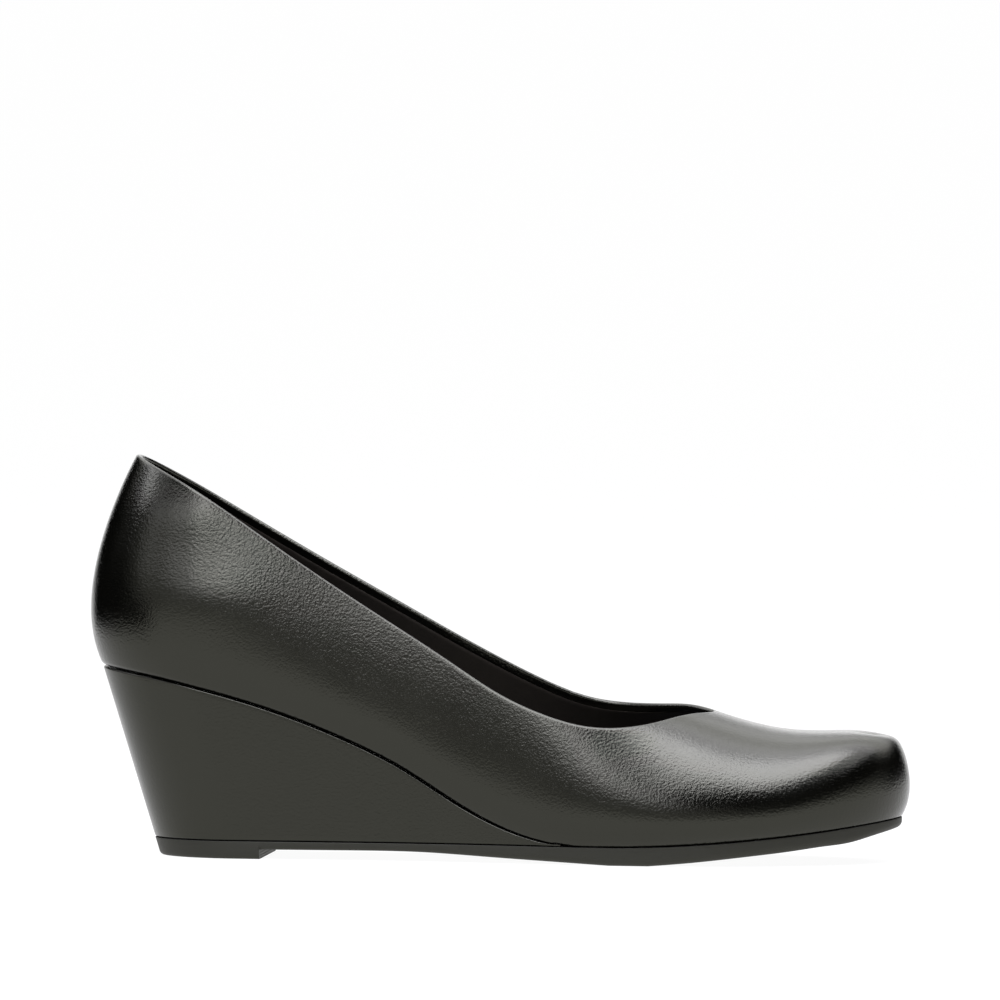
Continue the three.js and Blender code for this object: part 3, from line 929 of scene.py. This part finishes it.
class PUMP_OT_lining(bpy.types.Operator):
    """Sew the lining inside the upper"""

    bl_idname = "wedge_pump.lining"
    bl_label = "Lining"

    def execute(self, context):
        sizes = context.scene.pump_sizes
        outer_face = sizes.leather / MM + LINING_GAP
        inner_face = UPPER_WALL
        hem = sizes.hem / MM
        top = opening()
        skin = Skin()
        rim_out = drawn_back(top, hem + LINING_BACK_END)
        rim_in = drawn_back(top, hem + LINING_FRONT_END)
        back = skin_rows(*sheet_places(rim_out, LINING_BACK_ROWS, 1.0), outer_face)
        a, v = sheet_places(rim_in, LINING_FRONT_ROWS, 1.0)
        front = skin_rows(a, v, inner_face)
        depth = np.linalg.norm(front - front[-1], axis=-1)
        front = front - normals(a, v) * puckers(front, depth)[..., None]
        index = ring_index()
        skin.sheet(back)
        skin.sheet(front)
        rounding = drawn_back(top, hem + LINING_ROUND)
        tip = drawn_back(top, hem + LINING_TIP)
        edge = [
            back[-1][index],
            skin_rows(*rounding, outer_face + LINING_BACK_ROUND),
            skin_rows(*tip, (outer_face + inner_face) / 2),
            skin_rows(*rounding, inner_face - LINING_FRONT_ROUND),
            front[-1][index],
        ]
        skin.sheet(np.array(edge))
        skin.sheet(np.array([back[0], front[0]]))
        piece = skin.build("upper_lining")
        tint = context.scene.pump_colours.lining
        material = lining_material("lining_leather", tint, LINING_ROUGHNESS)
        dress(piece, material, "upper")
        return {"FINISHED"}


def sole_outline(side, s, inset, below=0.0):
    """The outsole's outline: the feather line, drawn forward and in under the wedge."""
    here = drawn_in(side, s, inset)
    under = clamp(1 - s / AT_WEDGE) ** UNDERCUT_POWER
    half = np.abs(here[..., 1]) / (HEEL_WIDTH / 2)
    here[..., 0] += HEEL_PITCH * under * (1 + below / (HEEL_HEIGHT - SEAT_SOLE))
    here[..., 1] -= side * HEEL_TAPER * under * half
    return here


def both_sides(s, make):
    """A ring of points: outer side from heel to toe, then the inner side back."""
    outer = make(np.full(s.shape, OUTER), s)
    inner = make(np.full(s.shape, INNER), s)
    return np.concatenate([outer, inner[-2:0:-1]])


def cap(row, columns):
    """Fills a ring straight across, from its outer to its inner side."""
    half = len(row) // 2
    outer = row[: half + 1]
    inner = np.concatenate([row[:1], row[:half - 1:-1]])
    share = np.linspace(0, 1, columns + 1)[:, None, None]
    return lerp(outer[None], inner[None], share)


# The wedge cover's stations, rows and edge steps, and the angle past which an edge is sharp.
WEDGE_STATIONS = 160
WEDGE_ROWS = 30
WEDGE_EDGE_STEPS = 6
WEDGE_SHARP = math.radians(50)
# Its rounding at the foot, and the seam down its back, in millimetres.
WEDGE_FOOT_ROUND = 0.45
WEDGE_SEAM_WIDTH = 0.4
WEDGE_SEAM_DEPTH = 0.22
# The most of its height that the upper and the lower rounding take where it is thin.
WEDGE_ROUND_SHARE = 0.45
WEDGE_FOOT_SHARE = 0.3


class PUMP_OT_wedge(bpy.types.Operator):
    """Cover the wedge in leather"""

    bl_idname = "wedge_pump.wedge"
    bl_label = "Wedge cover"

    def execute(self, context):
        sizes = context.scene.pump_sizes
        wide = sizes.wedge_round / MM
        s = AT_WEDGE * (1 - np.cos(math.pi / 2 * np.linspace(0, 1, WEDGE_STATIONS + 1)))

        def edge(side, at):
            low = outsole_top(at) + FIT_GAP
            high = np.maximum(wedge_top(at), low + WEDGE_TIP)
            return low, high

        def row(kind, turn):
            def make(side, at):
                low, high = edge(side, at)
                tall = high - low
                upper = np.minimum(wide, WEDGE_ROUND_SHARE * tall)
                lower = np.minimum(WEDGE_FOOT_ROUND, WEDGE_FOOT_SHARE * tall)
                if kind == "top":
                    z = high - upper * (1 - math.sin(turn))
                    inset = upper * (1 - math.cos(turn))
                elif kind == "bottom":
                    z = low + lower * (1 - math.sin(turn))
                    inset = lower * (1 - math.cos(turn))
                else:
                    z = lerp(high - upper, low + lower, turn)
                    inset = 0 * at
                down = clamp((high - z) / tall)
                top_edge = drawn_in(side, at, inset)
                low_edge = sole_outline(side, at, inset)
                point = lerp(top_edge, low_edge, down[..., None])
                point[..., 2] = z
                seam = gauss(point[..., 1], WEDGE_SEAM_WIDTH) * ease((30 - point[..., 0]) / 8)
                point[..., 0] += WEDGE_SEAM_DEPTH * seam
                return point

            return both_sides(s, make)

        quarter = np.linspace(math.pi / 2, 0, WEDGE_EDGE_STEPS + 1)
        rows = [row("top", turn) for turn in quarter]
        rows += [row("wall", share) for share in np.linspace(0, 1, WEDGE_ROWS + 1)[1:-1]]
        rows += [row("bottom", turn) for turn in quarter[::-1]]
        skin = Skin()
        skin.sheet(np.array(rows))
        skin.sheet(cap(rows[0], 6), ring=False)
        skin.sheet(cap(rows[-1], 6), ring=False)
        piece = skin.build("wedge_cover", sharp=WEDGE_SHARP)
        tint = context.scene.pump_colours.wedge
        material = leather_material("wedge_leather", tint, WEDGE_ROUGHNESS, WEDGE_GRAIN)
        dress(piece, material, "wedge")
        return {"FINISHED"}


def slanted(side, s):
    """The heel lift's front face reaches further forward on the inner side."""
    near = clamp(1 - np.abs(s - AT_LIFT) / AT_LIFT)
    return s + side * near * LIFT_SLANT / 2 / SOLE_LENGTH


# The fine wavy grooves under the sole, in millimetres: pitch, wave, and the plain rim around them.
TREAD_PITCH = 3.2
TREAD_WAVE = 1.6
TREAD_WAVE_REACH = 5.2
TREAD_RIM = 3.2
TREAD_RIM_FADE = 1.2


def tread(points, rim):
    """How far the fine grooves under the sole are cut in, from 0 to 1."""
    x = points[..., 0]
    y = points[..., 1]
    wave = x + TREAD_WAVE * np.sin(y / TREAD_WAVE_REACH)
    groove = ease((np.cos(wave * 2 * math.pi / TREAD_PITCH) - 0.25) / 0.5)
    return groove * ease((rim - TREAD_RIM) / TREAD_RIM_FADE)


# The outsole's roundings in millimetres: its upper edge, and its lower edge at heel and forefoot.
SOLE_TOP_ROUND = 0.2
SOLE_ROUND_HEEL = 0.9
SOLE_ROUND_FOREFOOT = 1.9
# How tall the lower rounding is beside its width, and the most of the edge that it takes.
SOLE_ROUND_TALL = 1.1
SOLE_ROUND_SHARE = 0.6
SOLE_SHARP = math.radians(55)
# The ribs on the heel lift's front face: how many bows, and their depth in millimetres.
LIFT_RIBS = 3.5
LIFT_RIB_DEPTH = 0.16
# Where the tread under the forefoot starts along the length.
AT_TREAD_CUT = 0.545


class PUMP_OT_outsole(bpy.types.Operator):
    """Mould the rubber outsole with its heel lift and fine tread"""

    bl_idname = "wedge_pump.outsole"
    bl_label = "Outsole"

    def execute(self, context):
        depth = context.scene.pump_sizes.tread / MM
        draft = LIFT_DRAFT / SOLE_LENGTH
        lift = (AT_LIFT - draft) * (1 - np.cos(math.pi / 2 * np.linspace(0, 1, 101)))
        breast_share = np.linspace(0, 1, 25)[1:-1]
        breast = AT_LIFT - draft * (1 - breast_share)
        waist = np.linspace(AT_LIFT, AT_TREAD, 131)
        flat = np.linspace(AT_TREAD, AT_SPRING, 25)[1:]
        toe = AT_SPRING + (1 - AT_SPRING) * np.sin(math.pi / 2 * np.linspace(0, 1, 151))[1:]
        s = np.concatenate([lift, breast, waist, flat, toe])
        under = outsole_under(s)
        first = len(lift)
        under[:first] = 0
        step = outsole_under(np.array([AT_LIFT]))[0]
        under[first : first + len(breast)] = step * breast_share
        top = outsole_top(s)

        def row(z_share, inset):
            def make(side, at):
                z = lerp(top, under, z_share)
                p = sole_outline(side, slanted(side, at), inset * np.ones_like(at), top - z)
                p[..., 2] = z
                return p

            return both_sides(s, make)

        radius = lerp(SOLE_ROUND_HEEL, SOLE_ROUND_FOREFOOT, clamp(s / AT_TREAD))
        tall = np.maximum(top - under, 0.5)
        drop = np.minimum(radius * SOLE_ROUND_TALL, tall * SOLE_ROUND_SHARE)
        rows = []
        small = SOLE_TOP_ROUND
        for turn in np.linspace(0, math.pi / 2, 5):
            rows.append(row(small * (1 - math.sin(turn)) / tall, small * (1 - math.cos(turn))))
        rows = rows[::-1]
        rows += [row((small + share * (tall - small - drop)) / tall, 0.0) for share in (0.33, 0.66)]
        for turn in np.linspace(0, math.pi / 2, 10):
            share = 1 - drop / tall * (1 - math.sin(turn))
            rows.append(row(share, radius * (1 - math.cos(turn))))
        skin = Skin()
        skin.sheet(np.array(rows))
        skin.sheet(cap(rows[0], 4), ring=False)
        bottom = cap(rows[-1], 44)
        width = np.linalg.norm(bottom[-1] - bottom[0], axis=-1)
        share = np.linspace(0, 1, bottom.shape[0])[:, None]
        rim = np.minimum(share, 1 - share) * width
        along = bottom[..., 0]
        ends = [bottom[0, 0, 0], bottom[0, first, 0]]
        heel_zone = ease((along - ends[0] - 3) / 1.5) * ease((ends[1] - 2.2 - along) / 1.2)
        front_zone = ease((along - AT_TREAD_CUT * SOLE_LENGTH) / 4) * ease((SOLE_LENGTH - 5 - along) / 2)
        cut = tread(bottom, rim) * np.maximum(heel_zone * (along < ends[1]), front_zone)
        bottom[..., 2] += depth * cut
        front = slice(first, first + len(breast))
        ribs = np.abs(np.sin(breast_share * LIFT_RIBS * math.pi)) * ease((rim[:, front] - 1) / 0.8)
        bottom[:, front, 0] -= LIFT_RIB_DEPTH * ribs
        skin.sheet(bottom, ring=False)
        piece = skin.build("outsole_rubber", sharp=SOLE_SHARP)
        tint = context.scene.pump_colours.rubber
        dress(piece, rubber_material("black_rubber", tint), "outsole")
        return {"FINISHED"}


# The sock's stations, and its edge: height above the feather line and how far it is drawn in, in
# millimetres. It is drawn in less along the shoe than across it.
SOCK_STATIONS = 180
SOCK_EDGE = ((0.15, 0), (1.2, 0), (2.4, 0), (3.4, 0.1), (4.1, 0.45), (4.5, 1.0))
SOCK_PULL = (0.35, 1, 0)
# How deep the padding dishes where the sock is this wide or wider, in millimetres.
SOCK_DISH = 0.9
SOCK_DISH_WIDTH = 30.0
# The search for a height up the section: its first guess and its rounds.
SECTION_GUESS = 60.0
SECTION_ROUNDS = 6


class PUMP_OT_insole(bpy.types.Operator):
    """Lay the padded sock on the insole board"""

    bl_idname = "wedge_pump.insole"
    bl_label = "Insole sock"

    def execute(self, context):
        s = station(math.pi * np.linspace(0, 1, SOCK_STATIONS + 1))

        def wall(height):
            """The lining's inner face at a height above the feather line."""

            def make(side, at):
                a = around_at(at)
                turn = np.full(at.shape, height / SECTION_GUESS)
                for _ in range(SECTION_ROUNDS):
                    z = spot(a, side * (1 - turn))[..., 2] - feather_height(at)
                    turn = turn * height / np.maximum(z, 0.1)
                v = side * (1 - turn)
                point = spot(a, v) - normals(a, v) * (UPPER_WALL + FIT_GAP / 2)
                point[..., 2] = feather_height(at) + height
                return point

            return both_sides(s, make)

        centre = np.array([SOLE_LENGTH / 2, 0, 0])
        rows = []
        for height, pull in SOCK_EDGE:
            row = wall(height)
            inward = unit((centre - row) * np.array(SOCK_PULL))
            rows.append(row + inward * pull)
        skin = Skin()
        skin.sheet(np.array(rows))
        skin.sheet(cap(rows[0], 6), ring=False)
        top = cap(rows[-1], 24)
        share = np.linspace(-1, 1, top.shape[0])[:, None]
        width = np.linalg.norm(top[-1] - top[0], axis=-1)
        dish = np.minimum(width / SOCK_DISH_WIDTH, 1) * (1 - share**2)
        top[..., 2] -= SOCK_DISH * dish * ease((1 - np.abs(share)) / 0.5)
        skin.sheet(top, ring=False)
        piece = skin.build("insole_sock")
        tint = context.scene.pump_colours.sock
        material = lining_material("sock_leather", tint, SOCK_ROUGHNESS)
        dress(piece, material, "insole")
        return {"FINISHED"}


# The photograph's view: turned, raised and rolled in degrees, how much it takes in across in metres,
# and its middle in millimetres, to the right of and above a corner of the shoe.
VIEW_TURN = 3.0
VIEW_RAISE = 2.7
VIEW_ROLL = 0.6
VIEW_REACH = 0.30395
VIEW_RIGHT = 122.87
VIEW_UP = 109.42
VIEW_CORNER = (-123.58, -1.4, -1.0)
SENSOR_WIDTH = 36.0


def view_axes():
    """The photograph's directions: right, up and towards the camera, before the roll."""
    turn = math.radians(VIEW_TURN)
    rise = math.radians(VIEW_RAISE)
    right = Vector((math.cos(turn), math.sin(turn), 0))
    back = Vector((math.sin(turn) * math.cos(rise), -math.cos(turn) * math.cos(rise), math.sin(rise)))
    return right, back.cross(right), back


def add_camera(distance):
    right, up, back = view_axes()
    target = (Vector(VIEW_CORNER) + right * VIEW_RIGHT + up * VIEW_UP) * MM
    roll = math.radians(VIEW_ROLL)
    rolled_right = right * math.cos(roll) + up * math.sin(roll)
    rolled_up = up * math.cos(roll) - right * math.sin(roll)
    data = bpy.data.cameras.new("camera")
    data.sensor_width = SENSOR_WIDTH
    data.sensor_fit = "HORIZONTAL"
    data.lens = SENSOR_WIDTH * distance / VIEW_REACH
    data.clip_start = 0.1
    data.clip_end = 200.0
    camera = bpy.data.objects.new("camera", data)
    place = target + back * distance
    columns = (rolled_right, rolled_up, back)
    camera.matrix_world = Matrix.Translation(place) @ Matrix(columns).transposed().to_4x4()
    bpy.context.scene.collection.objects.link(camera)
    bpy.context.scene.camera = camera


class Sky:
    """The studio around the shoe, painted by direction: the white table, pale walls and dark gaps."""

    def __init__(self):
        self.world = bpy.data.worlds.new("studio")
        self.world.use_nodes = True
        self.tree = self.world.node_tree
        self.tree.nodes.clear()
        place = self.tree.nodes.new("ShaderNodeTexCoord")
        self.way = place.outputs["Generated"]
        self.total = None

    def math(self, operation, first, second=None):
        node = self.tree.nodes.new("ShaderNodeMath")
        node.operation = operation
        for socket, value in zip(node.inputs, (first, second)):
            if isinstance(value, (int, float)):
                socket.default_value = value
            elif value is not None:
                self.tree.links.new(value, socket)
        return node.outputs["Value"]

    def towards(self, direction):
        """How far a direction lies along a fixed one."""
        node = self.tree.nodes.new("ShaderNodeVectorMath")
        node.operation = "DOT_PRODUCT"
        self.tree.links.new(self.way, node.inputs[0])
        node.inputs[1].default_value = direction
        return node.outputs["Value"]

    def step(self, value, start, end):
        """A soft step of a value, from 0 at start to 1 at end."""
        node = self.tree.nodes.new("ShaderNodeMapRange")
        node.interpolation_type = "SMOOTHSTEP"
        node.inputs["From Min"].default_value = start
        node.inputs["From Max"].default_value = end
        self.tree.links.new(value, node.inputs["Value"])
        return node.outputs["Result"]

    def add(self, strength, *masks):
        """Adds light of a strength where all the masks are 1."""
        value = masks[0]
        for mask in masks[1:]:
            value = self.math("MULTIPLY", value, mask)
        value = self.math("MULTIPLY", value, strength)
        self.total = value if self.total is None else self.math("ADD", self.total, value)

    def finish(self):
        """The camera sees plain white behind the object, and everything else sees the studio."""
        tree = self.tree
        out = tree.nodes.new("ShaderNodeOutputWorld")
        seen = tree.nodes.new("ShaderNodeBackground")
        studio = tree.nodes.new("ShaderNodeBackground")
        mix = tree.nodes.new("ShaderNodeMixShader")
        path = tree.nodes.new("ShaderNodeLightPath")
        seen.inputs["Color"].default_value = (1, 1, 1, 1)
        studio.inputs["Color"].default_value = (1, 1, 1, 1)
        tree.links.new(self.total, studio.inputs["Strength"])
        tree.links.new(path.outputs["Is Camera Ray"], mix.inputs["Fac"])
        tree.links.new(studio.outputs["Background"], mix.inputs[1])
        tree.links.new(seen.outputs["Background"], mix.inputs[2])
        tree.links.new(mix.outputs["Shader"], out.inputs["Surface"])
        bpy.context.scene.world = self.world


# The soft boxes are a touch cool, which takes some of the warmth out of the gloss.
BOX_COLOUR = (0.985, 0.985, 1.12)


def soft_box(name, middle, aim, size, roll, brightness):
    """A soft box that lights the shoe and shows in its gloss, but not in the picture itself."""
    data = bpy.data.lights.new(name, "AREA")
    data.shape = "RECTANGLE"
    data.size, data.size_y = size
    data.energy = brightness * math.pi * size[0] * size[1]
    data.color = BOX_COLOUR
    light = bpy.data.objects.new(name, data)
    away = (Vector(middle) - Vector(aim)).normalized()
    turned = away.to_track_quat("Z", "Y").to_matrix() @ Matrix.Rotation(math.radians(roll), 3, "Z")
    light.matrix_world = Matrix.Translation(middle) @ turned.to_4x4()
    light.visible_camera = False
    bpy.context.scene.collection.objects.link(light)


# The soft boxes: name, middle, what it faces, width and height in metres, roll in degrees and
# the brightness of its face, where the white floor is 1.
HEEL = (-0.085, -0.025, 0.09)
SOFT_BOXES = (
    ("side_light", (-0.358, -0.65, 0.498), HEEL, (1.1, 0.28), -3, 1.4),
    ("side_light_middle", (-0.157, -0.707, 0.502), HEEL, (0.64, 0.24), 0, 1.2),
    ("side_light_end", (-0.027, -0.44, 0.362), HEEL, (0.156, 0.138), 0, 5.4),
    ("back_side_light", (-0.729, -0.093, 0.56), HEEL, (0.2, 0.2), 0, 3.0),
    ("front_edge_light", (0.17, -0.415, 1.0), (0.17, -0.415, 0.0), (1.1, 0.54), 68, 6.8),
    ("overhead_light", (-0.224, 0.013, 1.05), (-0.224, 0.013, 0.0), (2.89, 1.02), 0, 2.4),
)


# A black card beside the white table, on the heel's side: its corners, seen from above, its height
# and its two blacks.
FLAG_NEAR = (-0.47, -0.36)
FLAG_FAR = (-0.47, 0.5)
FLAG_HEIGHT = 0.12
FLAG_DARK = (0.002, 0.002, 0.002)
FLAG_LIGHT = (0.003, 0.003, 0.003)


def add_flag():
    """The black card that keeps the heel's back dark. It shows in the gloss alone."""
    corners = [(*FLAG_NEAR, 0), (*FLAG_FAR, 0), (*FLAG_FAR, FLAG_HEIGHT), (*FLAG_NEAR, FLAG_HEIGHT)]
    mesh = bpy.data.meshes.new("flag")
    mesh.from_pydata(corners, [], [(0, 1, 2, 3)])
    flag = bpy.data.objects.new("flag", mesh)
    material, tree, shader, place = new_material("black_card")
    tone = two_tones(tree, noise(tree, place, scale=40), FLAG_DARK, FLAG_LIGHT)
    tree.links.new(tone, shader.inputs["Base Color"])
    shader.inputs["Roughness"].default_value = 1.0
    shader.inputs["Specular IOR Level"].default_value = 0.0
    mesh.materials.append(material)
    bpy.context.scene.collection.objects.link(flag)
    flag.visible_camera = False


# How bright the studio is by direction, where the white floor is 1: below the table's edge, on the
# front wall, lower and at its foot, on the backdrop and high at the back.
TABLE_LIGHT = 1.0
FRONT_WALL = 0.46
FRONT_FOOT = 0.38
BACKDROP = 1.3
HIGH_BACK = 1.94


def add_studio():
    sky = Sky()
    east = sky.towards((1, 0, 0))
    north = sky.towards((0, 1, 0))
    height = sky.towards((0, 0, 1))
    above = sky.step(height, -0.02, 0.02)
    sky.add(TABLE_LIGHT, sky.step(height, 0.02, -0.02))
    front = sky.step(north, 0.35, 0.1)
    left_end = sky.step(east, -0.99, -0.8)
    heel_side = sky.step(east, 0.6, 0.3)
    sky.add(FRONT_WALL, sky.step(height, 0.5, 0.3), front, above, left_end, heel_side)
    sky.add(FRONT_WALL, sky.step(height, 0.24, 0.12), front, above, sky.step(east, 0.3, 0.6))
    sky.add(FRONT_FOOT, sky.step(height, 0.13, 0.0), front, above, left_end)
    sky.add(BACKDROP, sky.step(north, 0.88, 0.96), above)
    sky.add(HIGH_BACK, sky.step(height, 0.35, 0.6), sky.step(north, 0.15, 0.4))
    sky.finish()
    add_flag()
    for box in SOFT_BOXES:
        soft_box(*box)


class PUMP_OT_stage(bpy.types.Operator):
    """Set the pale floor, the lights and the camera"""

    bl_idname = "wedge_pump.stage"
    bl_label = "Studio"

    def execute(self, context):
        scene = context.scene
        sizes = scene.pump_sizes
        reach = sizes.floor_reach
        mesh = bpy.data.meshes.new("floor")
        corners = [(-reach, -reach, 0), (reach, -reach, 0), (reach, reach, 0), (-reach, reach, 0)]
        mesh.from_pydata(corners, [], [(0, 1, 2, 3)])
        floor = bpy.data.objects.new("floor", mesh)
        scene.collection.objects.link(floor)
        mesh.materials.append(floor_material(scene.pump_colours.floor))
        add_studio()
        scene.view_settings.view_transform = "Standard"
        add_camera(sizes.camera_distance)
        return {"FINISHED"}


OPERATORS = (
    PUMP_OT_upper,
    PUMP_OT_lining,
    PUMP_OT_wedge,
    PUMP_OT_outsole,
    PUMP_OT_insole,
    PUMP_OT_stage,
)


class PUMP_PT_sidebar(bpy.types.Panel):
    """Pieces, sizes and colours of the wedge pump"""

    bl_idname = "PUMP_PT_sidebar"
    bl_label = "Wedge Pump"
    bl_space_type = "VIEW_3D"
    bl_region_type = "UI"
    bl_category = "Wedge Pump"

    def draw(self, context):
        layout = self.layout
        for operator in OPERATORS:
            layout.operator(operator.bl_idname)
        for group in (context.scene.pump_sizes, context.scene.pump_colours):
            box = layout.box()
            for name in group.bl_rna.properties.keys():
                if name not in ("rna_type", "name"):
                    box.prop(group, name)


CLASSES = (PumpSizes, PumpColours, *OPERATORS, PUMP_PT_sidebar)


def register():
    for item in CLASSES:
        bpy.utils.register_class(item)
    bpy.types.Scene.pump_sizes = bpy.props.PointerProperty(type=PumpSizes)
    bpy.types.Scene.pump_colours = bpy.props.PointerProperty(type=PumpColours)


def unregister():
    del bpy.types.Scene.pump_colours
    del bpy.types.Scene.pump_sizes
    for item in reversed(CLASSES):
        bpy.utils.unregister_class(item)


def main():
    register()
    bpy.ops.wedge_pump.upper()
    bpy.ops.wedge_pump.lining()
    bpy.ops.wedge_pump.wedge()
    bpy.ops.wedge_pump.outsole()
    bpy.ops.wedge_pump.insole()
    bpy.ops.wedge_pump.stage()


if __name__ == "__main__":
    main()
